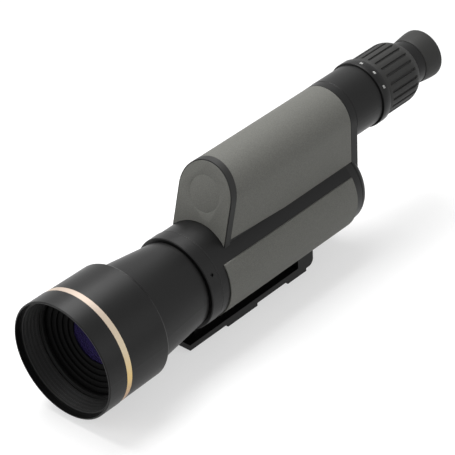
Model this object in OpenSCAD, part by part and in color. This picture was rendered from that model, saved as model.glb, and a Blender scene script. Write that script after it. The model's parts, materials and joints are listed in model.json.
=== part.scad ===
// Straight spotting scope with a mirror-folded light path.
// The objective looks along -Y, the eyepiece is at +Y, and +Z is up.
// The origin is the mouth of the tripod thread, on the underside of the foot.

/* [Overall] */
// Distance from the front rim to the tripod thread
socket_y = 162; // [158:1:166]
// Height of the objective axis above the foot's underside
axis_z = 49.6; // [49.2:0.1:50.4]
// Height of the eyepiece axis above the objective axis
fold_h = 55.3; // [55:0.1:56]

/* [Objective] */
// Outside radius of the bell
bell_r = 44.5; // [44.3:0.1:45]
// Length of the bell
bell_l = 58; // [56:0.5:60]
// Distance from the rim to the trim ring
trim_y = 16.4; // [16:0.1:17]
// Width of the trim ring
trim_w = 5; // [4:0.1:5.4]
// Radius of the objective lenses
lens_r = 39.4; // [39:0.1:39.6]
// Clear radius of the lens retainer
clear_r = 37.1; // [36.5:0.1:38]
// Barrel radius where it leaves the bell
barrel_r1 = 39; // [38.5:0.1:39.5]
// Barrel radius where it meets the collar
barrel_r2 = 32.8; // [32.5:0.1:33.2]

/* [Body] */
// Radius of the black lower tube
tube_r = 35.1; // [35:0.1:35.3]
// Radius over the rubber covering of the lower tube
armor_r = 36; // [35.8:0.1:36.2]
// Half width and top radius over the hump's covering
hump_r = 24.1; // [24:0.1:24.3]
// Lean of the hump's front face, in degrees
front_lean = 16.3; // [15:0.1:17]
// Distance from the rim to the front face, at the eyepiece axis
front_y = 146.3; // [146:0.1:147]
// Distance from the rim to the rear cover
cover_y = 277.9; // [277:0.1:278.4]
// Distance from the rim to the eyepiece shoulder
rear_y = 284.6; // [284:0.1:285]

/* [Foot] */
// Half width of the foot
foot_hw = 16; // [15:0.5:17]
// Distance from the rim to the foot's front end
foot_y1 = 106; // [105:1:108]
// Distance from the rim to the foot's rear end
foot_y2 = 241; // [240:1:243]
// Wall radius of the tripod thread
thread_r = 3.2; // [3.175:0.005:3.25]

/* [Eyepiece] */
// Radius of the fixed eyepiece tube
eye_r = 24.4; // [24:0.1:24.6]
// Distance from the rim to the zoom ring
zoom_y = 314.5; // [314:0.1:315]
// Radius of the zoom ring's number band
band_r = 25.8; // [25.6:0.1:26]
// Width of the number band
band_w = 8.8; // [8:0.1:9]
// Distance from the rim to the end of the zoom ring's grip
grip_end = 365.4; // [365:0.1:366]
// Radius of the ribbed grip
grip_r = 24.3; // [24.1:0.1:24.5]
// Number of grooves in the grip
grooves = 24; // [20:1:28]
// Distance from the rim to the end of the eyecup
length = 394; // [393:0.5:395]
// Distance that the eyecup comes out
cup_lift = 6; // [5:0.1:6]

/* [Focus] */
// Radius of the focus knob
knob_r = 13.5; // [12.5:0.1:13.8]
// Travel of the mirror carriage either way
focus_travel = 6; // [5:0.1:6]

/* [Hidden] */
$fn = 72;
fit = 0.05;            // radial clearance of a running fit
gap = 0.02;            // clearance of pieces that are fixed together
skin = armor_r - tube_r; // thickness of the rubber covering
hump_in = hump_r - skin; // radius of the metal hump
wall = 2.2;            // wall of the housing
seam_y = 122.4;        // front end of the housing
collar_y = 111.2;      // front end of the collar
fold = 2 * front_lean; // angle of the light between the mirrors
mirror_y1 = 161;       // front mirror's centre
mirror_y2 = mirror_y1 + fold_h / tan(fold); // rear mirror's centre
band_z = 18.5;         // top edge of the lower covering
rod_x = 25;            // guide rods of the carriage
rod_z = -9;
rod_r = 1.5;
boss_xz = 20.5;        // rear cover's screws
taper_y = 270;         // where the lower tube starts to narrow
end_r = 34.2;          // its radius at the rear cover
lug_y = 266;           // front end of their lugs
lug_l = 9.7;           // length of their lugs
screw_r = 3;           // focus screw
cell_y = 18;           // front of the objective cell
core_r = 20;           // eyepiece tube under the zoom ring
neck_r = 14.6;         // eyepiece neck under the eyecup
pocket_y = 344;        // front of the eyecup's pocket
cam_r = 14.5;          // outside of the cam sleeve
relay_r = 13;          // outside of the relay tube
cell_r = 11.5;         // sliding lens cells
zoom_turn = 56;        // degrees that the zoom ring turns
vari_move = 12;        // travel of the front sliding cell
comp_move = -7;        // travel of the rear sliding cell
vari_y = 292;          // front sliding cell, at rest
comp_y = 330;          // rear sliding cell, at rest

// ---- helpers: y is measured back from the front rim, z up from the objective axis
module at(y = 0, z = 0) { translate([0, y - socket_y, axis_z + z]) children(); }
module rod(r, y1, y2, z = 0, x = 0) {
    at(y1, z) translate([x, 0, 0]) rotate([-90, 0, 0]) cylinder(r = r, h = y2 - y1);
}
module ring(ro, ri, y1, y2, z = 0) {
    difference() { rod(ro, y1, y2, z); rod(ri, y1 - 1, y2 + 1, z); }
}
module cone(r1, r2, y1, y2, z = 0) {
    at(y1, z) rotate([-90, 0, 0]) cylinder(r1 = r1, r2 = r2, h = y2 - y1);
}
// outline points are [radius, y]
module turned(points, z = 0) { at(0, z) rotate([-90, 0, 0]) rotate_extrude() polygon(points); }
// a ring of round section
module o_ring(r, thick, y, z = 0) {
    at(y, z) rotate([-90, 0, 0]) rotate_extrude() translate([r, 0]) circle(r = thick, $fn = 24);
}
// radial hole or pin: angle from +Z towards +X
module radial(r, r1, r2, y, turn, z = 0) {
    at(y, z) rotate([0, turn, 0]) translate([0, 0, r1]) cylinder(r = r, h = r2 - r1);
}
// everything in front of the leaning plane that crosses the eyepiece axis at y
module ahead(y) { at(y, fold_h) rotate([-front_lean, 0, 0]) translate([-60, -120, -150]) cube([120, 120, 300]); }
// hump outline between two stations: a round top with straight sides
module hump(r, y1, y2) {
    rod(r, y1, y2, fold_h);
    at(y1) translate([-r, 0, 0]) cube([2 * r, y2 - y1, fold_h]);
}
// arc of points for an outline: centre [r, y], radius, start and end angle
function arc(cr, cy, r, a1, a2, n = 8) = [for (i = [0:n]) let (a = a1 + (a2 - a1) * i / n)
    [cr + r * cos(a), cy + r * sin(a)]];

// ---- objective
module objective_bell() color("#2c2c2c") difference() {
    turned([[43.2, 0], [43.9, 0], [bell_r, 0.6], [bell_r, trim_y], [bell_r - 1.3, trim_y],
        [bell_r - 1.3, trim_y + trim_w], [bell_r - 0.3, trim_y + trim_w], [43.8, bell_l - 1.4],
        [43.2, bell_l - 0.3], [42.6, bell_l], [39.3, bell_l], [39.3, 38.5], [42, 38.5],
        [42, cell_y], [42.3, cell_y - 0.5], [42.3, 4.6], [43.2, 4.6]]);
    // bayonet notch in the rim
    at(-1) rotate([0, 248, 0]) translate([-2.2, 0, 41]) cube([4.4, 3.4, 2.7]);
}
module trim_ring() color("#d9c08c") ring(bell_r - 0.35, bell_r - 1.3 + gap, trim_y + gap, trim_y + trim_w - gap);
module hood_liner() color("#262626") turned([[41.4, 4.7], [42.3 - gap, 4.7], [42.3 - gap, cell_y - 0.6],
    [38.4, cell_y - 0.6]]);
module objective_cell() color("#1c1c1c") turned([[clear_r + 0.6, 36.5], [clear_r + 0.6, 38.4],
    [42 - gap, 38.4], [42 - gap, 31.2], [40.8, 31.2], [40.8, 28.8], [42 - gap, 28.8],
    [42 - gap, cell_y + gap], [40.6, cell_y + gap], [40.6, 22.4], [lens_r + gap, 22.4], [lens_r + gap, 36.5]]);
module lens_retainer() color("#242424") turned([[clear_r + 0.5, cell_y], [40.6 - gap, cell_y],
    [40.6 - gap, 22.3], [clear_r + 0.8, 22.3], [clear_r, 21.1], [clear_r, 19.6]]);
// the front face is a low dome
module crown_lens() color("#2a2345", 0.6) turned(concat(
    [for (i = [0:8]) let (r = (clear_r - 0.3) * i / 8) [r, 20.2 + 2.2 * pow(i / 8, 2)]],
    [[lens_r, 22.4], [lens_r, 29.6], [0, 29.6]]));
module lens_spacer() color("#8a8a8a") ring(lens_r - 0.1, clear_r + 1, 29.62, 30);
module flint_lens() color("#2a2345", 0.6) rod(lens_r, 30.02, 36.45);
module cell_o_ring() color("#151515") o_ring(41.4, 0.55, 30);
module objective_barrel() color("#2b2b2b") difference() {
    union() {
        cone(barrel_r1, barrel_r2, bell_l - 0.5, 110.6);
        rod(39.3 - gap, 39, bell_l - 0.5);
        rod(30.6, 110.6, 125.2);
    }
    cone(37, 30.5, 38, 108);
    rod(28.6, 100, 126);
}
module barrel_baffles() color("#161616") for (y = [62, 84, 104])
    ring(36.85 - (y - 38) * 0.0929, 36 - (y - 30) * 0.16, y, y + 1.2);
module collar_ring() color("#2d2d2d") difference() {
    turned([[30.6 + gap, collar_y], [34.9, collar_y], [35.5, collar_y + 0.6], [35.6, seam_y - 0.8],
        [35.2, seam_y - 0.2], [30.6 + gap, seam_y - 0.2]]);
    for (t = [60, 180, 300]) radial(1.3, 29, 40, 116.8, t);
}
module collar_screws() color("#6b6b6b") for (t = [60, 180, 300]) difference() {
    radial(1.3 - gap, 30.6 + gap, 34.4, 116.8, t);
    radial(0.65, 33, 36, 116.8, t);
}

// ---- body
// puts its children at each screw of the rear cover, with y as the length
module cover_screw_spots() {
    for (x = [-1, 1], z = [-1, 1]) at(0, z * boss_xz) translate([x * boss_xz, 0, 0]) children();
}
module along(r, y1, y2) { translate([0, y1, 0]) rotate([-90, 0, 0]) cylinder(r = r, h = y2 - y1); }
// puts its children at each screw of the front mirror, with z square to the mirror
module mirror_screw_spots() {
    at(mirror_y1, fold_h) rotate([-90 - front_lean, 0, 0])
        for (t = [90, 210, 330]) rotate([0, 0, t]) translate([13.5, 0, 0]) children();
}
module main_housing() color("#2e2e2e") difference() {
    union() {
        difference() {
            union() {
                rod(tube_r, seam_y, taper_y);
                cone(tube_r, end_r, taper_y, cover_y - 0.4);
                difference() { hump(hump_in, 125, cover_y - 0.4); ahead(front_y + 2.6); }
                // land for the foot
                at(124) translate([-11, 0, -36.6]) cube([22, 112, 5]);
            }
            // lower bore, spigot seat and the way up to the hump
            rod(tube_r - wall, seam_y + 3, cover_y);
            rod(30.6 + gap, seam_y - 1, seam_y + 4);
            difference() { hump(hump_in - wall, 128, cover_y); ahead(front_y + 5.2); }
        }
        // lugs for the rear cover's screws, joined to the wall by short webs
        intersection() {
            cover_screw_spots() along(3, lug_y, lug_y + lug_l);
            rod(tube_r - wall + 0.2, 260, 280);
        }
        cover_screw_spots() translate([-1.2, lug_y, -1.2]) cube([2.4, lug_l, 2.4]);
        for (x = [-1, 1], z = [-1, 1]) at(lug_y) rotate([0, -x * z * 45, 0])
            translate([x > 0 ? 30 : -33.5, 0, -1.5]) cube([3.5, lug_l, 3]);
    }
    cover_screw_spots() along(0.9, 268, cover_y);
    for (y = [134, 190, 224]) at(y) translate([0, 0, -38]) cylinder(r = 1.7, h = 4.8);
    mirror_screw_spots() {
        translate([0, 0, -14]) cylinder(r = 1.2, h = 8);
        translate([0, 0, -14]) cylinder(r = 2.2, h = 3.4);
    }
}
module front_frame() color("#2e2e2d") difference() {
    hump(hump_r + 0.1, 125, 172);
    ahead(front_y + 0.5);
    at(front_y + 5.8, fold_h) rotate([-front_lean, 0, 0]) translate([-60, 0, -150]) cube([120, 120, 300]);
    rod(tube_r + gap, 120, 180);
    // seat over the housing's nose
    difference() { hump(hump_in + gap, 120, 175); ahead(front_y + 2.6 - gap); }
}
module front_panel() color("#5c5d58") difference() {
    hump(hump_r - 0.8, 125, 172);
    ahead(front_y);
    at(front_y + 0.5 - gap, fold_h) rotate([-front_lean, 0, 0]) translate([-60, 0, -150]) cube([120, 120, 300]);
    rod(tube_r + 0.3, 120, 180);
    // plain ring groove
    at(front_y + 0.35, fold_h + 1) rotate([-90 - front_lean, 0, 0]) translate([0, 0, -3]) difference() {
        cylinder(r = 13.7, h = 3);
        translate([0, 0, -1]) cylinder(r = 13.1, h = 5);
    }
}
module hump_armor() color("#6e6e69") difference() {
    hump(hump_r, 130, cover_y - 0.1);
    ahead(front_y + 5.9);
    hump(hump_in + gap, 120, cover_y + 2);
    rod(tube_r + gap, 120, cover_y + 2);
    // lower edge, falling towards the rear
    at(146.1, 29.1) rotate([-3.6, 0, 0]) translate([-40, -30, -80]) cube([80, 200, 80]);
}
module lower_armor() color("#6e6e69") difference() {
    ring(armor_r, tube_r + gap, 129.9, taper_y - 0.5);
    at(120, band_z) translate([-50, 0, 0]) cube([100, 170, 60]);
    // cut-out round the foot
    at(100, -60) translate([-12.5, 0, 0]) cube([25, 145, 60]);
}
module rear_cover() color("#2b2b2b") difference() {
    union() {
        turned(concat([[0, cover_y]], [[end_r, cover_y]], arc(end_r - 7, rear_y - 7 + 0.3, 7, 0, 90),
            [[0, rear_y + 0.3]]));
        hump(hump_r + 0.1, cover_y, rear_y);
        // pilot that fits in the housing
        rod(tube_r - wall - 0.1, cover_y - 2, cover_y + 1);
    }
    difference() {
        rod(tube_r - wall - 2.4, cover_y - 3, cover_y + 2.5);
        cover_screw_spots() along(3, cover_y - 4, cover_y + 4);
        for (x = [-1, 1]) rod(3.6, cover_y - 1, cover_y + 4, rod_z, x * rod_x);
    }
    difference() { hump(hump_in - wall, cover_y - 3, cover_y + 2); rod(tube_r - wall, cover_y - 4, cover_y + 4); }
    // eyepiece seat
    rod(18 + gap, cover_y - 3, rear_y + 2, fold_h);
    // focus bushing seat
    rod(6 + gap, cover_y - 3, rear_y + 2);
    cover_screw_spots() { along(1.2, cover_y - 4, rear_y + 2); along(2.2, rear_y - 2, rear_y + 2); }
    for (x = [-1, 1]) rod(rod_r + gap, cover_y - 4, rear_y - 1.5, rod_z, x * rod_x);
}
module rear_gasket() color("#151515") difference() {
    union() { rod(end_r - 0.5, cover_y - 0.38, cover_y - 0.02); hump(hump_in - 0.5, cover_y - 0.38, cover_y - 0.02); }
    rod(tube_r - wall + 0.1, cover_y - 3, cover_y + 2);
    hump(hump_in - wall, cover_y - 3, cover_y + 2);
}
module cover_screws() color("#55575a") cover_screw_spots() difference() {
    union() { along(0.9 - gap, cover_y - 8, rear_y - 1.98); along(2, rear_y - 1.98, rear_y - 0.4); }
    translate([0, rear_y - 1.3, 0]) rotate([-90, 0, 0]) cylinder(r = 1, h = 2, $fn = 6);
}

// ---- foot
module mount_foot() color("#2b2b2b") difference() {
    union() {
        at(foot_y1, -47.2) translate([-foot_hw, 0, 0]) cube([2 * foot_hw, foot_y2 - foot_y1 - 4, 4.6]);
        // raised pads
        at(146, -axis_z) translate([-foot_hw, 0, 0]) cube([2 * foot_hw, 32, 4]);
        at(212, -axis_z) translate([-foot_hw, 0, 0]) cube([2 * foot_hw, 21, 4]);
        // narrow web up to the housing
        at(118, -43) translate([-9, 0, 0]) cube([18, 112, 6.3]);
        // rear pedestal with rounded corners
        at(224, -43) translate([-foot_hw, 0, 0]) cube([2 * foot_hw, foot_y2 - 224 - 4, 14]);
        at(foot_y2 - 5, -47.2) translate([-foot_hw, 0, 5]) cube([2 * foot_hw, 5, 13]);
        at(foot_y2 - 5, -42.2) translate([-foot_hw, 0, 0]) rotate([0, 90, 0]) cylinder(r = 5, h = 2 * foot_hw);
        // upright stop at the front
        at(107, -43) translate([-6, 0, 0]) cube([12, 5, 4.5]);
    }
    rod(armor_r + 0.15, 223.9, foot_y2 + 5);
    rod(tube_r + gap, 100, 224);
    at(123.95, -36.62) translate([-11.02, 0, 0]) cube([22.04, 112.1, 10]);
    at(socket_y, -axis_z - 1) cylinder(r = 5 + gap, h = 10);
    for (y = [134, 190, 224]) at(y) {
        translate([0, 0, -52]) cylinder(r = 1.7, h = 20);
        translate([0, 0, -52]) cylinder(r = 3.2, h = 8);
    }
}
module foot_screws() color("#5a5c5f") for (y = [134, 190, 224]) at(y) difference() {
    union() {
        translate([0, 0, -44.1]) cylinder(r = 1.65, h = 10.7);
        translate([0, 0, -46.6]) cylinder(r = 3, h = 2.6);
    }
    translate([0, 0, -47]) cylinder(r = 1.5, h = 2, $fn = 6);
}
module thread_insert() color("#9a9b9d") at(socket_y, -axis_z) difference() {
    cylinder(r = 5, h = 9);
    translate([0, 0, -1]) cylinder(r = thread_r, h = 11);
}

// ---- mirrors and focus
// a disc facing forwards and up (front = 1) or back and down (front = -1)
module leaning_disc(r, y, z, t1, t2) {
    at(y, z) rotate([-90 - front_lean, 0, 0]) translate([0, 0, t1]) cylinder(r = r, h = t2 - t1);
}
module front_mirror() color("#cfd4d8") leaning_disc(15, mirror_y1, fold_h, -4, 0);
module front_mirror_holder() color("#1d1d1d") difference() {
    leaning_disc(17.5, mirror_y1, fold_h, -9.6, 1);
    leaning_disc(15 + gap, mirror_y1, fold_h, -4.02, 3);
    leaning_disc(10, mirror_y1, fold_h, -12, 0);
    ahead(front_y + 5.25);
    mirror_screw_spots() translate([0, 0, -12]) cylinder(r = 0.8, h = 7);
}
module mirror_screws() color("#6b6e72") mirror_screw_spots() {
    translate([0, 0, -11]) cylinder(r = 0.8 - gap, h = 5.6);
    translate([0, 0, -11.5]) cylinder(r = 2, h = 0.88);
}
module guide_rods() color("#b9bcc0") for (x = [-1, 1]) rod(rod_r, 242 - focus_travel, rear_y - 1.6, rod_z, x * rod_x);
module focus_bushing() color("#b08d4a") difference() {
    union() { rod(6, cover_y - 1, rear_y + 0.2); rod(7.5, cover_y - 2.4, cover_y - 1); }
    rod(screw_r + fit, cover_y - 4, rear_y + 2);
}
module mirror_carriage() color("#1d1d1d") difference() {
    union() {
        rod(24.5, 257, 261);
        for (x = [-1, 1]) rod(4, 255, 263, rod_z, x * rod_x);
        for (x = [-1, 1]) at(257, rod_z) translate([x > 0 ? 18 : -rod_x, 0, -4]) cube([rod_x - 18, 4, 8]);
        rod(6, 255, 269);
        intersection() {
            leaning_disc(21, mirror_y2, 0, 5, 22);
            rod(24.5, 240, 258);
        }
        leaning_disc(22.5, mirror_y2, 0, 3, 6);
    }
    leaning_disc(21 + gap, mirror_y2, 0, -1, 5);
    for (x = [-1, 1]) rod(rod_r + fit, 250, 270, rod_z, x * rod_x);
    rod(screw_r + fit, 254, 272);
}
module rear_mirror() color("#cfd4d8") leaning_disc(21, mirror_y2, 0, 0.02, 4.98);
module mirror_clips() color("#8f9296") for (t = [0, 120, 240])
    at(mirror_y2) rotate([-90 - front_lean, 0, 0]) rotate([0, 0, t]) translate([19.4, -2, -0.6]) cube([3, 4, 0.6]);
module focus_screw() color("#b9bcc0") rod(screw_r, 266.6 - focus_travel, rear_y + 6);
module focus_knob() color("#2b2b2b") difference() {
    turned([[0, rear_y + 0.9], [9.5, rear_y + 0.9], [10, rear_y + 1.4], [10.6, rear_y + 1.4],
        [knob_r - 1.2, rear_y + 1.4], [knob_r - 1.2, rear_y + 10.2], [knob_r - 2, rear_y + 11.2],
        [5.5, rear_y + 11.2], [5.5, rear_y + 10.4], [0, rear_y + 10.4]]);
    rod(screw_r + gap, rear_y, rear_y + 6.02);
    rod(1.5, rear_y + 5, rear_y + 12);
}
module knob_grip() color("#1f1f1f") difference() {
    turned(concat([[knob_r - 1.2 + gap, rear_y + 1.8]], [[knob_r - 0.4, rear_y + 1.8], [knob_r, rear_y + 2.4],
        [knob_r, rear_y + 9.2], [knob_r - 0.4, rear_y + 9.8], [knob_r - 1.2 + gap, rear_y + 9.8]]));
    for (i = [0:23]) at(rear_y) rotate([0, i * 15, 0]) translate([-0.45, 1, knob_r - 0.55]) cube([0.9, 10, 2]);
}
module knob_bolt() color("#6b6e72") difference() {
    union() { rod(1.5 - gap, rear_y + 6.1, rear_y + 10.5); rod(3.6, rear_y + 10.42, rear_y + 11.4); }
    at(rear_y + 10.9) rotate([-90, 0, 0]) cylinder(r = 1.6, h = 2, $fn = 6);
}

// ---- eyepiece
module eyepiece_tube() color("#2b2b2b") difference() {
    union() {
        turned([[0, rear_y], [eye_r - 0.3, rear_y], [eye_r, rear_y + 0.4], [eye_r, zoom_y - 0.3],
            [core_r, zoom_y - 0.3], [core_r, pocket_y], [neck_r, pocket_y], [neck_r, 384], [0, 384]], fold_h);
        rod(18, cover_y - 7, rear_y + 0.01, fold_h);
    }
    rod(cam_r + 0.5, cover_y - 8, 340, fold_h);
    rod(12.7, 330, 390, fold_h);
    // slot for the drive screw
    at(316.9, fold_h) intersection() {
        rotate([-90, 0, 0]) linear_extrude(height = 3.6) polygon(concat([[0, 0]],
            [for (i = [0:6]) let (a = 187 - i * (zoom_turn + 14) / 6) [30 * sin(a), -30 * cos(a)]]));
        translate([0, -1, 0]) rotate([-90, 0, 0]) difference() {
            cylinder(r = core_r + 2, h = 6);
            translate([0, 0, -1]) cylinder(r = cam_r, h = 8);
        }
    }
    // groove of the seal
    at(rear_y - 3, fold_h) rotate([-90, 0, 0]) rotate_extrude() translate([16.9, 0]) square([1.2, 2]);
}
module eyepiece_nut() color("#3a3a3a") difference() {
    ring(20.4, 18 + gap, cover_y - 3.2, cover_y + 1.9, fold_h);
    for (t = [0:60:300]) radial(1.2, 18.6, 23, cover_y - 1.2, t, fold_h);
}
module eyepiece_o_ring() color("#151515") o_ring(17.46, 0.52, rear_y - 2, fold_h);
module relay_tube() color("#232323") difference() {
    union() { rod(relay_r, 262, 339.8, fold_h); rod(cam_r + 0.5 - gap, 274, 276, fold_h); }
    rod(cell_r + fit, 261, 341, fold_h);
    // straight guide slot below
    at(vari_y - 2, fold_h) translate([-1.6, 0, -relay_r - 1]) cube([3.2, 52, 4]);
}
module field_stop() color("#1a1a1a") ring(cell_r, 6, 266, 268.5, fold_h);
module field_lens() color("#2a2345", 0.6) rod(12.7 - gap, 346, 351, fold_h);
module lens_tube() color("#242424") ring(12.7 - gap, 11, 351.02, 357.98, fold_h);
module eye_lens() color("#2a2345", 0.6) rod(12.7 - gap, 358, 369, fold_h);
module eye_lens_retainer() color("#242424") ring(12.7 - gap, 10.8, 369.02, 372, fold_h);
// points along a helical cam slot, as [y, turn from +Z]
function cam(y, move) = [for (i = [-1:13]) [y + move * i / 12, 180 + zoom_turn * i / 12]];
module cam_sleeve() color("#8c8f93") difference() {
    ring(cam_r, relay_r + fit, 282, 339, fold_h);
    for (p = cam(vari_y + 4, vari_move)) radial(1.65, 11, 16, p[0], p[1], fold_h);
    for (p = cam(comp_y + 4, comp_move)) radial(1.65, 11, 16, p[0], p[1], fold_h);
    radial(1.5 + gap, 10, 16, 318.7, 180, fold_h);
}
module drive_screw() color("#7d8084") radial(1.5, relay_r + 0.4, band_r - 0.8, 318.7, 180, fold_h);
module zoom_ring() color("#2d2d2d") difference() {
    turned([[core_r + fit, zoom_y], [band_r - 0.5, zoom_y], [band_r, zoom_y + 0.5],
        [band_r, zoom_y + band_w - 0.3], [band_r - 0.3, zoom_y + band_w], [22.6, zoom_y + band_w],
        [22.6, grip_end - 12.4], [18.9, grip_end], [17.8, grip_end], [17.8, pocket_y + 0.2], [core_r + fit, pocket_y + 0.2]], fold_h);
    radial(1.5 + gap, 19, band_r + 1, 318.7, 180, fold_h);
    for (i = [0:2]) radial(0.9, band_r - 0.6, band_r + 1, zoom_y + 4.6, 3 + i * zoom_turn / 2, fold_h);
}
module zoom_marks() color("#e8e8e4") for (i = [0:2])
    radial(0.9 - gap, band_r - 0.58, band_r - 0.12, zoom_y + 4.6, 3 + i * zoom_turn / 2, fold_h);
module zoom_grip() color("#3a3a39") difference() {
    turned(concat([[22.6 + gap, zoom_y + band_w + gap], [grip_r - 0.4, zoom_y + band_w + gap],
        [grip_r, zoom_y + band_w + 0.5], [grip_r, grip_end - 11.6], [grip_r - 0.5, grip_end - 8],
        [grip_r - 1.9, grip_end - 4.4], [grip_r - 4.1, grip_end - 1.2], [grip_r - 5.1, grip_end],
        [18.9 + 3 * gap, grip_end], [22.6 + gap, grip_end - 12.4]]), fold_h);
    for (i = [0:grooves - 1]) at(0, fold_h) rotate([0, 3 + i * 360 / grooves, 0])
        translate([-0.65, 328, grip_r - 1]) cube([1.3, 27, 3]);
}
// the sliding cells: a ring with a lens and one guide pin
module slide_cell(y) difference() {
    union() {
        rod(cell_r, y, y + 8, fold_h);
        radial(1.3, 10.5, cam_r - 0.1, y + 4, 180, fold_h);
    }
    rod(8, y - 1, y + 9, fold_h);
    rod(10, y + 2, y + 9, fold_h);
}
module slide_lens(y) rod(10 - gap, y + 2.02, y + 7, fold_h);
module front_cell() color("#1f1f1f") slide_cell(vari_y);
module front_cell_lens() color("#2a2345", 0.6) slide_lens(vari_y);
module rear_cell() color("#1f1f1f") slide_cell(comp_y);
module rear_cell_lens() color("#2a2345", 0.6) slide_lens(comp_y);
module eyecup_guide_ring() color("#3a3a3a") union() {
    ring(17.3, neck_r + fit, pocket_y + 0.4, 350, fold_h);
    for (s = [-1, 1]) at(349.5, fold_h) translate([s > 0 ? 14.9 : -16.2, 0, -1.5]) cube([1.3, 13, 3]);
}
module eyecup_sleeve() color("#2c2c2c") difference() {
    turned([[neck_r + fit, 352 + cup_lift], [17.2, 352 + cup_lift], [17.2, 375.9], [16.8, 375.9], [16.8, 389], [neck_r + 0.4, 389],
        [neck_r + 0.4, 386], [neck_r + fit, 385]], fold_h);
    for (s = [-1, 1]) at(357, fold_h) translate([s > 0 ? 14 : -16.5, 0, -1.7]) cube([2.5, 14, 3.4]);
}
module eyecup_rubber() color("#3d3d3c") turned([[16.8 + gap, 376], [17.3, 376], [17.7, 376.5], [18.9, 386],
    [19.2, length - 1.6], [18.8, length - 0.4], [18.1, length], [16.6, length], [16, length - 0.6],
    [15.6, 389.4], [16.8 + gap, 389.02]], fold_h);

objective_bell();
trim_ring();
hood_liner();
objective_cell();
crown_lens();
lens_spacer();
flint_lens();
lens_retainer();
cell_o_ring();
objective_barrel();
barrel_baffles();
collar_ring();
collar_screws();
main_housing();
front_frame();
front_panel();
hump_armor();
lower_armor();
rear_cover();
rear_gasket();
cover_screws();
mount_foot();
foot_screws();
thread_insert();
front_mirror();
front_mirror_holder();
mirror_screws();
guide_rods();
focus_bushing();
mirror_carriage();
rear_mirror();
mirror_clips();
focus_screw();
focus_knob();
knob_grip();
knob_bolt();
eyepiece_tube();
eyepiece_nut();
eyepiece_o_ring();
relay_tube();
field_stop();
field_lens();
lens_tube();
eye_lens();
eye_lens_retainer();
cam_sleeve();
drive_screw();
zoom_ring();
zoom_grip();
zoom_marks();
front_cell();
front_cell_lens();
rear_cell();
rear_cell_lens();
eyecup_guide_ring();
eyecup_sleeve();
eyecup_rubber();
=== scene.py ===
import json
import math

import bpy
from mathutils import Matrix, Vector


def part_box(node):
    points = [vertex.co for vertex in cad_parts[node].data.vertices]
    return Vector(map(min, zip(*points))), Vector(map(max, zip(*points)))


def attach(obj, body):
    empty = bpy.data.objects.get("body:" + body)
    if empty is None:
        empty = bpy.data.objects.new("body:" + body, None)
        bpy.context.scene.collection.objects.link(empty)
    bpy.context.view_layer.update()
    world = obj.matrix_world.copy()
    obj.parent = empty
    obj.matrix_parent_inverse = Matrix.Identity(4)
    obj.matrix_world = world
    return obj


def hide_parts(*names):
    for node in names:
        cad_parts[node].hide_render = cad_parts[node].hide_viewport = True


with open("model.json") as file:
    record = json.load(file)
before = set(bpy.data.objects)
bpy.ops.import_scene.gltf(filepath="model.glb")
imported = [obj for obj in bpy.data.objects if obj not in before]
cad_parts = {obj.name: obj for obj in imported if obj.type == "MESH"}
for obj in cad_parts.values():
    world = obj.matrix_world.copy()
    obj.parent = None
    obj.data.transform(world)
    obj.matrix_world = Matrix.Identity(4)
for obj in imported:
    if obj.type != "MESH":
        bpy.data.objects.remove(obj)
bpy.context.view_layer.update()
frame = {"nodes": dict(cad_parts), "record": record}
nodes = frame["nodes"]
mm = 0.001
print("frame loaded")

# the front rim and the axes of the two tubes, from the frame
bellLow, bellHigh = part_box("objective_bell")
zoomLow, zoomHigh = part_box("zoom_ring")
rimY = bellLow.y
objectiveZ = (bellLow.z + bellHigh.z) / 2
eyeZ = (zoomLow.z + zoomHigh.z) / 2


# front end and rear end, as distances behind the rim, and the widest radius, all in millimetres
def measure(name):
    low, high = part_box(name)
    return [round(size / mm, 2) for size in (low.y - rimY, high.y - rimY, high.x)]


bellEnd = measure("objective_bell")[1]
linerFront, linerEnd, linerRadius = measure("hood_liner")
collarEnd = measure("collar_ring")[1]
housingFront = measure("main_housing")[0]
ringFront, ringEnd, ringRadius = measure("zoom_ring")
gripRadius = measure("zoom_grip")[2]
cupFront, cupEnd, cupRadius = measure("eyecup_rubber")


# small helpers for materials
def toLinear(hexColour):
    parts = [int(hexColour[i:i + 2], 16) / 255 for i in (1, 3, 5)]
    return [c / 12.92 if c <= 0.04045 else ((c + 0.055) / 1.055) ** 2.4 for c in parts] + [1.0]


def addNode(material, kind, settings=None, links=None):
    tree = material.node_tree
    node = tree.nodes.new(kind)
    for key, value in (settings or {}).items():
        if key in node.inputs:
            node.inputs[key].default_value = value
        else:
            setattr(node, key, value)
    for key, source in (links or {}).items():
        tree.links.new(source, node.inputs[key])
    return node


# an empty material, and the place on the piece that its patterns read
def newMaterial(name):
    material = bpy.data.materials.new(name)
    material.use_nodes = True
    material.node_tree.nodes.clear()
    return material, addNode(material, "ShaderNodeTexCoord").outputs["Object"]


def closeMaterial(material, shader):
    addNode(material, "ShaderNodeOutputMaterial", links={"Surface": shader.outputs[0]})
    return material


# scale of a noise pattern with one bump to this many millimetres
def perMm(size):
    return 1 / (size * mm)


# the colour sockets of a Mix node, whose names stand more than once
mixLow, mixHigh, mixResult = 6, 7, 2
white = (1, 1, 1, 1)


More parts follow.
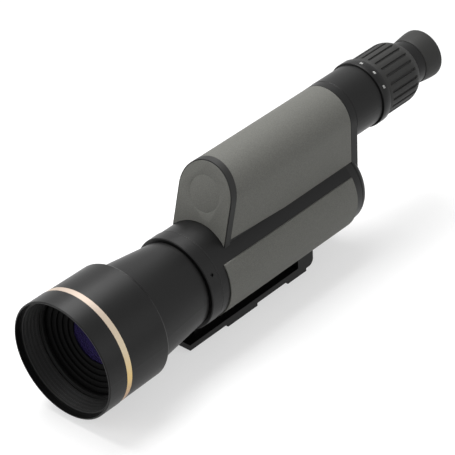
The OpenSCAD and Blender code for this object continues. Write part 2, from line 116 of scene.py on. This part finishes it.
# materials; the real grains are about 0.1 mm, too fine to show, so they are drawn 3 to 8 times as coarse
def blackAnodised():
    # bead-blasted and anodised aluminium: soft wide highlights with a very fine sparkle
    material, where = newMaterial("bead-blasted anodised aluminium, black")
    grain = addNode(material, "ShaderNodeTexNoise", {"Scale": perMm(0.45), "Detail": 3.0}, {"Vector": where})
    tone = addNode(material, "ShaderNodeMapRange", {
        "From Min": 0.3, "From Max": 0.7, "To Min": 0.34, "To Max": 0.42}, {"Value": grain.outputs[0]})
    bump = addNode(material, "ShaderNodeBump", {"Strength": 0.08, "Distance": 0.0001}, {
        "Height": grain.outputs[0]})
    shader = addNode(material, "ShaderNodeBsdfPrincipled", {
        "Base Color": toLinear("#0a0a0a"), "Specular IOR Level": 0.19}, {
        "Roughness": tone.outputs[0], "Normal": bump.outputs[0]})
    return closeMaterial(material, shader)


def goldAnodised():
    # turned and anodised aluminium, pale gold: a soft satin shine with fine marks round the ring
    material, where = newMaterial("turned anodised aluminium, pale gold")
    # a wave pattern's bands lie 0.314 of its size apart, so these marks are 0.5 mm apart
    marks = addNode(material, "ShaderNodeTexWave", {
        "Scale": perMm(1.6), "bands_direction": "Y", "Distortion": 1.5, "Detail": 2.0}, {"Vector": where})
    bump = addNode(material, "ShaderNodeBump", {"Strength": 0.06, "Distance": 0.0001}, {
        "Height": marks.outputs[0]})
    # painted reflection: the ring is grayer and pinker at its top and bottom than at its sides, where it is a
    # fuller gold
    reflectionReach = 45 * mm
    height = addNode(material, "ShaderNodeSeparateXYZ", links={"Vector": where})
    share = addNode(material, "ShaderNodeMapRange", {
        "From Min": objectiveZ - reflectionReach, "From Max": objectiveZ + reflectionReach}, {"Value": height.outputs["Z"]})
    reflectionTint = addNode(material, "ShaderNodeValToRGB", links={"Fac": share.outputs[0]})
    stops = reflectionTint.color_ramp.elements
    # colours of the painted reflection, from the bottom of the ring to its top
    stops[0].position, stops[0].color = 0.05, toLinear("#b3a294")
    stops[1].position, stops[1].color = 0.95, toLinear("#a39487")
    for place, hexColour in ((0.27, "#b2947a"), (0.46, "#cbae70"), (0.68, "#c3b498")):
        stops.new(place).color = toLinear(hexColour)
    shader = addNode(material, "ShaderNodeBsdfPrincipled", {"Metallic": 0.3, "Roughness": 0.5}, {
        "Base Color": reflectionTint.outputs[0], "Normal": bump.outputs[0]})
    return closeMaterial(material, shader)


def flatBlack():
    # flat black paint on turned anti-glare ribs: dull, with faint rings of light 1.1 mm apart
    material, where = newMaterial("flat black optical paint, ribbed")
    ribs = addNode(material, "ShaderNodeTexWave", {"Scale": perMm(3.454), "bands_direction": "Y"}, {
        "Vector": where})
    bump = addNode(material, "ShaderNodeBump", {"Strength": 0.35, "Distance": 0.0003}, {
        "Height": ribs.outputs[0]})
    shader = addNode(material, "ShaderNodeBsdfPrincipled", {
        "Base Color": toLinear("#0f0f0f"), "Roughness": 0.5, "Specular IOR Level": 0.25}, {
        "Normal": bump.outputs[0]})
    return closeMaterial(material, shader)


def coatedGlass():
    # polished and coated glass over a dark inside, drawn opaque: deep violet, with sharp small highlights;
    # the darkness is painted shade of the closed tube seen through the glass, and the violet is the coating's
    # reflection, painted into the colour
    material, where = newMaterial("polished glass, violet anti-reflection coating")
    # the violet is a little lighter in faint clouds
    cloud = addNode(material, "ShaderNodeTexNoise", {"Scale": perMm(14)}, {"Vector": where})
    colour = addNode(material, "ShaderNodeMix", {"data_type": "RGBA"}, {"Factor": cloud.outputs[0]})
    # base colours of the painted shade and the painted violet reflection
    colour.inputs[mixLow].default_value = toLinear("#17122c")
    colour.inputs[mixHigh].default_value = toLinear("#231c42")
    shader = addNode(material, "ShaderNodeBsdfPrincipled", {
        "Roughness": 0.06, "IOR": 1.5, "Specular IOR Level": 0.9}, {"Base Color": colour.outputs[mixResult]})
    return closeMaterial(material, shader)


def paintedShadeBlack():
    # flat black paint on turned steps: nearly no shine; drawn darker and duller than the liner's flat black,
    # as painted shade deep inside the tube
    material, where = newMaterial("flat black optical paint, turned steps")
    grain = addNode(material, "ShaderNodeTexNoise", {"Scale": perMm(0.6), "Detail": 2.0}, {"Vector": where})
    rough = addNode(material, "ShaderNodeMapRange", {"To Min": 0.45, "To Max": 0.6}, {
        "Value": grain.outputs[0]})
    shader = addNode(material, "ShaderNodeBsdfPrincipled", {
        "Base Color": toLinear("#040404"), "Specular IOR Level": 0.07}, {"Roughness": rough.outputs[0]})
    return closeMaterial(material, shader)


def mirrorGlass():
    # glass with a bright aluminium coat: a clear reflection with a slight haze
    material, where = newMaterial("aluminised mirror glass")
    haze = addNode(material, "ShaderNodeTexNoise", {"Scale": perMm(6), "Detail": 2.0}, {"Vector": where})
    rough = addNode(material, "ShaderNodeMapRange", {"To Min": 0.02, "To Max": 0.06}, {
        "Value": haze.outputs[0]})
    shader = addNode(material, "ShaderNodeBsdfPrincipled", {
        "Base Color": toLinear("#dfe3e6"), "Metallic": 1.0}, {"Roughness": rough.outputs[0]})
    return closeMaterial(material, shader)


def grayElastomer():
    # moulded elastomer with a fine leather-like grain: matt, a little sheen at grazing angles
    material, where = newMaterial("moulded elastomer, fine grain, warm gray")
    cells = addNode(material, "ShaderNodeTexVoronoi", {"Scale": perMm(0.75)}, {"Vector": where})
    cloud = addNode(material, "ShaderNodeTexNoise", {"Scale": perMm(0.5), "Detail": 4.0}, {"Vector": where})
    grain = addNode(material, "ShaderNodeMath", {"operation": "ADD"}, {
        0: cells.outputs[0], 1: cloud.outputs[0]})
    tone = addNode(material, "ShaderNodeMapRange", {"From Min": 0.3, "From Max": 1.2}, {
        "Value": grain.outputs[0]})
    colour = addNode(material, "ShaderNodeMix", {"data_type": "RGBA"}, {"Factor": tone.outputs[0]})
    colour.inputs[mixLow].default_value = toLinear("#474744")
    colour.inputs[mixHigh].default_value = toLinear("#585854")
    bump = addNode(material, "ShaderNodeBump", {"Strength": 0.3, "Distance": 0.0002}, {
        "Height": grain.outputs[0]})
    shader = addNode(material, "ShaderNodeBsdfPrincipled", {"Roughness": 0.7, "Specular IOR Level": 0.25}, {
        "Base Color": colour.outputs[mixResult], "Normal": bump.outputs[0]})
    return closeMaterial(material, shader)


def blackRubber():
    # moulded rubber: dark and matt, with a dusty fine texture
    material, where = newMaterial("moulded rubber, black")
    grain = addNode(material, "ShaderNodeTexNoise", {"Scale": perMm(0.5), "Detail": 4.0}, {"Vector": where})
    bump = addNode(material, "ShaderNodeBump", {"Strength": 0.2, "Distance": 0.0001}, {
        "Height": grain.outputs[0]})
    shader = addNode(material, "ShaderNodeBsdfPrincipled", {
        "Base Color": toLinear("#1e1e1d"), "Roughness": 0.58, "Specular IOR Level": 0.25}, {
        "Normal": bump.outputs[0]})
    return closeMaterial(material, shader)


def blackNylon():
    # moulded glass-filled nylon: a dull black with a fine spark-eroded texture
    material, where = newMaterial("moulded glass-filled nylon, black")
    grain = addNode(material, "ShaderNodeTexNoise", {"Scale": perMm(0.35), "Detail": 3.0}, {"Vector": where})
    bump = addNode(material, "ShaderNodeBump", {"Strength": 0.15, "Distance": 0.0001}, {
        "Height": grain.outputs[0]})
    shader = addNode(material, "ShaderNodeBsdfPrincipled", {
        "Base Color": toLinear("#151514"), "Roughness": 0.5, "Specular IOR Level": 0.25}, {
        "Normal": bump.outputs[0]})
    return closeMaterial(material, shader)


def turnedMetal(name, hexColour, roughness):
    # turned metal: bright, with highlights that are a little sharper in some spots than in others
    material, where = newMaterial(name)
    spread = 0.06
    spots = addNode(material, "ShaderNodeTexNoise", {"Scale": perMm(0.8), "Detail": 2.0}, {"Vector": where})
    tone = addNode(material, "ShaderNodeMapRange", {
        "To Min": roughness - spread, "To Max": roughness + spread}, {"Value": spots.outputs[0]})
    shader = addNode(material, "ShaderNodeBsdfPrincipled", {
        "Base Color": toLinear(hexColour), "Metallic": 1.0}, {"Roughness": tone.outputs[0]})
    return closeMaterial(material, shader)


def whitePrint():
    # pad-printed white ink: satin, and a little grayer where the ink is thin
    material, where = newMaterial("pad-printed ink, white")
    thin = addNode(material, "ShaderNodeTexNoise", {"Scale": perMm(0.6)}, {"Vector": where})
    colour = addNode(material, "ShaderNodeMix", {"data_type": "RGBA"}, {"Factor": thin.outputs[0]})
    colour.inputs[mixLow].default_value = toLinear("#a4a4a2")
    colour.inputs[mixHigh].default_value = toLinear("#bcbcba")
    shader = addNode(material, "ShaderNodeBsdfPrincipled", {"Roughness": 0.5}, {
        "Base Color": colour.outputs[mixResult]})
    return closeMaterial(material, shader)


finishes = {
    "black_anodised": blackAnodised(),
    "gold_ring": goldAnodised(),
    "matte_black": flatBlack(),
    "coated_glass": coatedGlass(),
    "mirror_glass": mirrorGlass(),
    "black_trim": blackNylon(),
    "gray_armor": grayElastomer(),
    "black_rubber": blackRubber(),
    "plain_metal": turnedMetal("turned steel, plain", "#a9abad", 0.3),
    "dark_screws": turnedMetal("blackened steel", "#3a3b3c", 0.4),
    "bronze": turnedMetal("turned bronze", "#b08b4f", 0.35),
    "white_print": whitePrint(),
}
for part in frame["record"]["subparts"]:
    mesh = nodes[part["node"]].data
    mesh.materials.clear()
    mesh.materials.append(finishes[part["material_slot"]])
print("finishes set")

# shared by the modelling helpers; lengths in metres
meshSet = {"seed": 0.01, "turnSteps": 128, "mergeGap": 0.00001}


# leaves edit mode and deselects everything
def clearSelection():
    if bpy.context.object and bpy.context.object.mode != "OBJECT":
        bpy.ops.object.mode_set(mode="OBJECT")
    bpy.ops.object.select_all(action="DESELECT")


def pick(piece):
    clearSelection()
    piece.select_set(True)
    bpy.context.view_layer.objects.active = piece


# an emptied plane that takes the given mesh, left in edit mode with all of it selected
def startPiece(corners, edges, faces):
    clearSelection()
    bpy.ops.mesh.primitive_plane_add(size=meshSet["seed"], location=(0, 0, 0))
    piece = bpy.context.object
    bpy.ops.object.mode_set(mode="EDIT")
    bpy.ops.mesh.select_all(action="SELECT")
    bpy.ops.mesh.delete(type="VERT")
    bpy.ops.object.mode_set(mode="OBJECT")
    piece.data.from_pydata(corners, edges, faces)
    bpy.ops.object.mode_set(mode="EDIT")
    bpy.ops.mesh.select_all(action="SELECT")
    return piece


# merges doubles, turns all faces outwards and leaves edit mode
def closeMesh(gap):
    bpy.ops.mesh.select_all(action="SELECT")
    bpy.ops.mesh.remove_doubles(threshold=gap)
    bpy.ops.mesh.normals_make_consistent(inside=False)
    bpy.ops.object.mode_set(mode="OBJECT")


# turns an outline round an axis along Y: points are (radius, distance behind the rim), in millimetres
def turnOutline(points, axisZ, closed=True):
    corners = [(r * mm, rimY + y * mm, axisZ) for r, y in points]
    edges = [(i, i + 1) for i in range(len(corners) - 1)]
    if closed:
        edges.append((len(corners) - 1, 0))
    piece = startPiece(corners, edges, [])
    bpy.ops.mesh.spin(steps=meshSet["turnSteps"], angle=2 * math.pi, center=(0, 0, axisZ), axis=(0, 1, 0))
    closeMesh(meshSet["mergeGap"])
    return piece


def finishPiece(piece, name, body, slot, smoothAngle=35, material=None):
    pick(piece)
    bpy.ops.object.transform_apply(location=True, rotation=True, scale=True)
    bpy.ops.object.shade_smooth_by_angle(angle=math.radians(smoothAngle))
    piece.name = name
    piece.data.name = name
    piece.data.materials.clear()
    piece.data.materials.append(material or finishes[slot])
    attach(piece, body)


# the objective: a black stepped tube that narrows towards a violet lens deep inside it
objectiveSet = {
    "steps": [(37.0, 21.4), (33.5, 23.4), (30.0, 25.2), (26.4, 27.0), (22.8, 28.8), (19.2, 30.4)],
    "taper": 0.3,       # radius that each step loses along its short tube
    "corner": 0.5,      # size of the soft corner between that tube and the flat face
    "slope": 0.3,       # how far the flat face slopes back
    "back": 34.0,       # rear end of the stepped tube
    "lensRadius": 19.0, "lensPlace": 31.2, "lensBulge": 2.2, "lensThick": 2.5, "lensRings": 10,
}


# half the section of a bulging lens, from its axis out to its edge and back
def domeOutline(radius, edgeY, bulge, thick, count):
    front = [(radius * i / count, edgeY - bulge * (1 - (i / count) ** 2)) for i in range(count + 1)]
    return front + [(r, y + thick) for r, y in reversed(front)]


def makeObjective():
    values = objectiveSet
    taper, corner, slope = values["taper"], values["corner"], values["slope"]
    outline = []
    for (radius, y), (innerRadius, innerY) in zip(values["steps"], values["steps"][1:]):
        outline += [(radius, y), (radius - taper, innerY - corner),
                    (innerRadius + corner, innerY - slope), (innerRadius, innerY)]
    widest, narrowest = values["steps"][0][0], values["steps"][-1][0]
    outline += [(narrowest, values["back"]), (widest, values["back"])]
    steps = turnOutline(outline, objectiveZ)
    # the steps take the darker paint: painted shade deep inside the tube
    finishPiece(steps, "stepped_baffles", "housing", "matte_black", material=paintedShadeBlack())
    lens = turnOutline(domeOutline(values["lensRadius"], values["lensPlace"], values["lensBulge"],
                                   values["lensThick"], values["lensRings"]), objectiveZ, closed=False)
    finishPiece(lens, "violet_lens", "housing", "coated_glass", smoothAngle=60)
    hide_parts("crown_lens", "flint_lens")


# thin flat black rings, seen as dark lines behind the bell and between the collar and the housing: painted
# shade, the shadow behind the bell's edge and the shade in the seam
shadeRingSet = {
    "collar_seam_shade": {"front": collarEnd - 0.25, "rear": housingFront + 0.3, "inner": 34.8, "outer": 35.44},
    "bell_edge_shade": {"front": bellEnd - 0.3, "rear": bellEnd + 1.3, "inner": 38.3, "outer": 39.12},
}
shadeRingEdge = 0.1  # the rings' softened edge


def makeShadeRings():
    for name, values in shadeRingSet.items():
        front, rear, inner, outer = (values[key] for key in ("front", "rear", "inner", "outer"))
        outline = [(inner, front), (outer - shadeRingEdge, front), (outer, front + shadeRingEdge),
                   (outer, rear - shadeRingEdge), (outer - shadeRingEdge, rear), (inner, rear)]
        finishPiece(turnOutline(outline, objectiveZ), name, "housing", "matte_black")


# hood liner: a tapered tube with fine anti-glare ribs, inside the bell
linerSet = {
    "front": linerFront + 0.2, "rear": linerEnd - 0.1, "outer": linerRadius - 0.08,
    "frontRadius": 41.3, "rearRadius": 38.6,
    "lipLength": 0.2, "lipWidth": 0.3,
    "ribs": 16, "ribDepth": 0.22,
    "ribShape": ((0.15, 0), (0.5, 1), (0.85, 0)),   # share of a rib's length, share of its depth
}


def makeHoodLiner():
    values = linerSet
    front, rear, frontRadius = values["front"], values["rear"], values["frontRadius"]
    lip = front - values["lipLength"]
    outline = [(values["outer"], rear), (values["outer"], lip), (frontRadius + values["lipWidth"], lip),
               (frontRadius, front)]
    for i in range(values["ribs"]):
        for share, depth in values["ribShape"]:
            along = (i + share) / values["ribs"]
            radius = frontRadius + (values["rearRadius"] - frontRadius) * along
            outline.append((radius + depth * values["ribDepth"], front + (rear - front) * along))
    outline.append((values["rearRadius"], rear))
    liner = turnOutline(outline, objectiveZ)
    finishPiece(liner, "ribbed_hood_liner", "housing", "matte_black", smoothAngle=50)
    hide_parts("hood_liner")


# rubber coverings: the frame's own shapes with softened edges; angles in degrees
coverSet = {
    "copies": {"front_panel": "front_pad", "hump_armor": "hump_covering", "lower_armor": "lower_covering"},
    "edge": 0.3, "segments": 3, "flatAngle": 1, "edgeAngle": 40,
}


def makeCovering(nodeName, name):
    values = coverSet
    source = nodes[nodeName]
    piece = source.copy()
    piece.data = source.data.copy()
    bpy.context.scene.collection.objects.link(piece)
    pick(piece)
    bpy.ops.object.mode_set(mode="EDIT")
    bpy.ops.mesh.select_all(action="SELECT")
    bpy.ops.mesh.remove_doubles(threshold=meshSet["mergeGap"])
    bpy.ops.mesh.dissolve_limited(angle_limit=math.radians(values["flatAngle"]))
    bpy.ops.mesh.normals_make_consistent(inside=False)
    bpy.ops.object.mode_set(mode="OBJECT")
    bevel = piece.modifiers.new("soft edges", "BEVEL")
    bevel.width = values["edge"] * mm
    bevel.segments = values["segments"]
    bevel.limit_method = "ANGLE"
    bevel.angle_limit = math.radians(values["edgeAngle"])
    bevel.use_clamp_overlap = True
    bpy.ops.object.modifier_apply(modifier=bevel.name)
    finishPiece(piece, name, "housing", "gray_armor", smoothAngle=values["edgeAngle"])
    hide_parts(nodeName)


def makeCoverings():
    for nodeName, name in coverSet["copies"].items():
        makeCovering(nodeName, name)


# zoom ring: the smooth band that carries the numbers, and the sleeve under the grip
bandSet = {
    "front": ringFront, "width": 8.4, "radius": ringRadius, "bore": 20.06,
    "shoulder": 23.0, "shoulderWidth": 0.8, "sleeve": 22.5,
    "end": ringEnd - 0.2, "endTaper": 12.2, "endRadius": 18.95, "endBore": 17.85, "endBoreLength": 21.0,
}


def makeZoomBand():
    values = bandSet
    front, radius, end = values["front"], values["radius"], values["end"]
    rear = front + values["width"]
    shoulderRear = rear + values["shoulderWidth"]
    stepY = end - values["endBoreLength"]
    outline = [(values["bore"], front), (radius - 0.6, front), (radius - 0.15, front + 0.2),
               (radius, front + 0.7), (radius, rear - 0.7), (radius - 0.2, rear - 0.2), (radius - 0.7, rear),
               (values["shoulder"], rear), (values["shoulder"], shoulderRear),
               (values["sleeve"], shoulderRear), (values["sleeve"], end - values["endTaper"]),
               (values["endRadius"], end),
               (values["endBore"], end), (values["endBore"], stepY), (values["bore"], stepY)]
    band = turnOutline(outline, eyeZ)
    finishPiece(band, "number_band", "zoom", "black_anodised", smoothAngle=40)
    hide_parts("zoom_ring")


# numbers on the band; angles in degrees from straight up towards +X
numberSet = {"texts": ("20", "40", "60"), "size": 2.6, "firstAngle": 3, "turn": 56,
             "raised": 0.04, "bolder": 0.05, "clear": 0.02}


def makeNumber(text, angle):
    values = numberSet
    clearSelection()
    bpy.ops.object.text_add(location=(0, 0, 0))
    number = bpy.context.object
    number.data.body = text
    number.data.align_x = "CENTER"
    number.data.align_y = "CENTER"
    number.data.size = values["size"] * mm
    number.data.extrude = values["raised"] * mm
    number.data.offset = values["bolder"] * mm
    bpy.ops.object.convert(target="MESH")
    number = bpy.context.object
    radius = (bandSet["radius"] + values["clear"]) * mm
    y = rimY + (bandSet["front"] + bandSet["width"] / 2) * mm
    # wrapped round the band: its width runs round the ring and its height along the axis
    for corner in number.data.vertices:
        around = math.radians(angle) + corner.co.x / radius
        out = radius + corner.co.z
        corner.co = (out * math.sin(around), y + corner.co.y, eyeZ + out * math.cos(around))
    finishPiece(number, "number_" + text, "zoom", "white_print")
    return number


def makeNumbers():
    values = numberSet
    step = values["turn"] / (len(values["texts"]) - 1)
    numbers = [makeNumber(text, values["firstAngle"] + i * step) for i, text in enumerate(values["texts"])]
    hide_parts("zoom_marks")


# zoom grip: a rubber sleeve with long grooves that rounds in towards the eyecup
gripSet = {
    "radius": gripRadius, "front": ringFront + 9.4, "end": ringEnd - 0.2,
    "frontEdge": ((0, 0.5), (0.15, 0.15), (0.5, 0)),    # distance from the front end, radius lost there
    "rearEdge": ((0.3, 0), (0, 0.3)),                   # distance from the rear end, radius lost there
    # distances from the rear end of the rings of corners between the two edges
    "rings": (31.2, 25.2, 19.2, 15.2, 13.2, 11.7, 10.2, 8.9, 7.7, 6.6, 5.2, 3.8, 2.4, 1.2),
    "roundLength": 12.5, "roundDrop": 5.1, "roundPower": 2.4,
    "grooves": 24, "grooveFront": 4.1, "grooveRear": 7.7, "grooveFade": 1.2,
    "grooveWidth": 1.7, "grooveDepth": 1.25,
    # share of half the groove's width, share of its depth
    "grooveShape": ((-1.35, 0.08), (-0.95, 0.85), (-0.6, 1), (0, 1),
                    (0.6, 1), (0.95, 0.85), (1.35, 0.08)),
    "landParts": 4,
    "bore": 22.55, "boreTaper": 12.4, "endBore": 18.98,
    "mergeGap": 0.000005,                               # in metres
}


def limit(value):
    return min(1, max(0, value))


# the places round the grip: (angle, share of the groove's depth)
def grooveAngles(values):
    pitch, parts = 2 * math.pi / values["grooves"], values["landParts"]
    half = values["grooveWidth"] / 2 / values["radius"]
    edge = values["grooveShape"][-1][0] * half
    land = pitch - 2 * edge
    around = []
    for i in range(values["grooves"]):
        middle = math.radians(numberSet["firstAngle"]) + i * pitch
        around += [(middle + across * half, share) for across, share in values["grooveShape"]]
        around += [(middle + edge + land * k / parts, 0) for k in range(1, parts)]
    return around


# the rings along the grip, outside and then back inside: (distance behind the rim, radius, groove depth)
def gripRings(values):
    front, end, length = values["front"], values["end"], values["roundLength"]
    grooveFront, grooveRear = front + values["grooveFront"], end - values["grooveRear"]
    fade = values["grooveFade"]
    places = [(front + step, drop) for step, drop in values["frontEdge"]]
    places += [(grooveFront + step, 0) for step in (-fade / 2, 0, fade / 2)]
    places += [(end - step, 0) for step in values["rings"]]
    places += [(end - step, drop) for step, drop in values["rearEdge"]]
    rings = []
    for y, drop in places:
        rounding = values["roundDrop"] * max(0, (y - (end - length)) / length) ** values["roundPower"]
        depth = limit((y - grooveFront + fade / 2) / fade) * limit((grooveRear - y) / fade)
        rings.append((y, values["radius"] - rounding - drop, values["grooveDepth"] * depth))
    return rings + [(end, values["endBore"], 0), (end - values["boreTaper"], values["bore"], 0),
                    (front, values["bore"], 0)]


def makeZoomGrip():
    around, rings = grooveAngles(gripSet), gripRings(gripSet)
    corners, faces = [], []
    for y, radius, depth in rings:
        for angle, share in around:
            r = (radius - depth * share) * mm
            corners.append((r * math.sin(angle), rimY + y * mm, eyeZ + r * math.cos(angle)))
    count = len(around)
    for row in range(len(rings)):
        here, there = row * count, (row + 1) % len(rings) * count
        for k in range(count):
            beside = (k + 1) % count
            faces.append((here + k, here + beside, there + beside, there + k))
    grip = startPiece(corners, [], faces)
    closeMesh(gripSet["mergeGap"])
    finishPiece(grip, "grooved_grip", "zoom", "black_rubber", smoothAngle=30)
    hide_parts("zoom_grip")


# eyecup: one moulded cup that flares to a rolled rim
cupSet = {
    "front": cupFront + 0.1, "end": cupEnd, "radius": cupRadius, "bore": 16.83,
    # radius, distance from the front end
    "flare": ((17.25, 0), (17.6, 0.25), (17.8, 1), (18.2, 4), (18.7, 8), (19.0, 11), (19.2, 14)),
    "straightEnd": 2.2, "rollWidth": 1.6, "rollLength": 1.7, "rollSteps": 10,
    "mouth": 15.8, "mouthDepth": 2.4, "seat": 15.6, "seatDepth": 4.5, "boreDepth": 4.95,
}


def makeEyecup():
    values = cupSet
    front, end, radius = values["front"], values["end"], values["radius"]
    width, length, steps = values["rollWidth"], values["rollLength"], values["rollSteps"]
    outline = [(values["bore"], front)] + [(r, front + y) for r, y in values["flare"]]
    outline.append((radius, end - values["straightEnd"]))
    outline += [(radius - width + width * math.cos(math.pi * k / steps),
                 end - length + length * math.sin(math.pi * k / steps)) for k in range(1, steps)]
    outline += [(values["mouth"], end - values["mouthDepth"]), (values["seat"], end - values["seatDepth"]),
                (values["bore"], end - values["boreDepth"])]
    cup = turnOutline(outline, eyeZ)
    finishPiece(cup, "rolled_eyecup", "eyecup", "black_rubber", smoothAngle=60)
    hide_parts("eyecup_rubber")


makeObjective()
print("objective made")
makeShadeRings()
makeHoodLiner()
print("seals and hood liner made")
makeCoverings()
print("coverings made")
makeZoomBand()
makeNumbers()
makeZoomGrip()
print("zoom ring made")
makeEyecup()
print("eyecup made")

# camera: lengths in millimetres, angles in degrees
cameraSet = {"target": (-2.2, 8.3, 64.4), "distance": 1550.3, "azimuth": 42.93, "elevation": 33.78,
             "roll": -3.10, "lens": 174.07, "sensor": 36.0, "farthest": 20000}


def addCamera():
    values = cameraSet
    turn, rise = math.radians(values["azimuth"]), math.radians(values["elevation"])
    back = Vector((math.sin(turn) * math.cos(rise), -math.cos(turn) * math.cos(rise), math.sin(rise)))
    data = bpy.data.cameras.new("camera")
    data.lens = values["lens"]
    data.sensor_width = values["sensor"]
    data.clip_end = values["farthest"] * mm
    camera = bpy.data.objects.new("camera", data)
    bpy.context.scene.collection.objects.link(camera)
    spin = back.to_track_quat("Z", "Y").to_matrix() @ Matrix.Rotation(math.radians(values["roll"]), 3, "Z")
    where = Vector(values["target"]) * mm + back * values["distance"] * mm
    camera.matrix_world = Matrix.Translation(where) @ spin.to_4x4()
    bpy.context.scene.camera = camera


# floor, world and lamps: lengths in metres, power in watts
floorSet = {"width": 12, "drop": 0.0002, "colour": "#f4f4f4", "fadeFrom": 0.15, "fadeTo": 0.6, "leastGlow": 0.55}
worldSet = {"light": 0.5, "shown": 1.0}
lampSet = {
    "overhead": {"place": (-0.45, 0.1, 1.15), "size": (1.0, 0.8), "power": 24},
    "front": {"place": (-0.55, -1.1, 0.75), "size": (0.9, 0.9), "power": 6},
    "side": {"place": (1.2, 0.3, 0.55), "size": (0.7, 0.9), "power": 3},
}
lampAim = (0, 0, 0.07)


# 1 for the rays that are to see the plain white background, and 0 for those that carry light
def raysThatSeeWhite(holder):
    rays = addNode(holder, "ShaderNodeLightPath")
    seen = addNode(holder, "ShaderNodeMath", {"operation": "MAXIMUM"}, {
        0: rays.outputs["Is Camera Ray"], 1: rays.outputs["Is Transmission Ray"]})
    return addNode(holder, "ShaderNodeMath", {"operation": "MAXIMUM"}, {
        0: seen.outputs[0], 1: rays.outputs["Is Glossy Ray"]})


def addFloor():
    values = floorSet
    bpy.ops.mesh.primitive_plane_add(size=values["width"], location=(0, 0, -values["drop"]))
    floor = bpy.context.object
    floor.name = "floor"
    # matt white paint that fades into the white background, away from the object: a painted glow, seen by
    # camera, glossy and transmission rays, lightens the object's shadow near it and grows to full farther out
    material, where = newMaterial("painted studio floor, white")
    diffuse = addNode(material, "ShaderNodeBsdfDiffuse", {"Color": toLinear(values["colour"])})
    glow = addNode(material, "ShaderNodeEmission", {"Color": white, "Strength": worldSet["shown"]})
    distance = addNode(material, "ShaderNodeVectorMath", {"operation": "LENGTH"}, {0: where})
    fade = addNode(material, "ShaderNodeMapRange", {
        "From Min": values["fadeFrom"], "From Max": values["fadeTo"], "To Min": values["leastGlow"]}, {
        "Value": distance.outputs["Value"]})
    share = addNode(material, "ShaderNodeMath", {"operation": "MULTIPLY"}, {
        0: fade.outputs[0], 1: raysThatSeeWhite(material).outputs[0]})
    both = addNode(material, "ShaderNodeMixShader", {}, {
        "Fac": share.outputs[0], 1: diffuse.outputs[0], 2: glow.outputs[0]})
    floor.data.materials.append(closeMaterial(material, both))


def addWorld():
    world = bpy.data.worlds.new("studio")
    bpy.context.scene.world = world
    world.use_nodes = True
    world.node_tree.nodes.clear()
    seen = raysThatSeeWhite(world)
    light = addNode(world, "ShaderNodeBackground", {"Color": white, "Strength": worldSet["light"]})
    shown = addNode(world, "ShaderNodeBackground", {"Color": white, "Strength": worldSet["shown"]})
    both = addNode(world, "ShaderNodeMixShader", {}, {
        "Fac": seen.outputs[0], 1: light.outputs[0], 2: shown.outputs[0]})
    addNode(world, "ShaderNodeOutputWorld", links={"Surface": both.outputs[0]})


def addLamps():
    for name, values in lampSet.items():
        data = bpy.data.lights.new(name, "AREA")
        data.shape = "RECTANGLE"
        data.size, data.size_y = values["size"]
        data.energy = values["power"]
        lamp = bpy.data.objects.new(name, data)
        bpy.context.scene.collection.objects.link(lamp)
        lamp.location = values["place"]
        lamp.rotation_euler = (Vector(lampAim) - lamp.location).to_track_quat("-Z", "Y").to_euler()


addCamera()
clearSelection()
addFloor()
addWorld()
addLamps()
bpy.context.scene.view_settings.view_transform = "Standard"
print("camera and studio set")
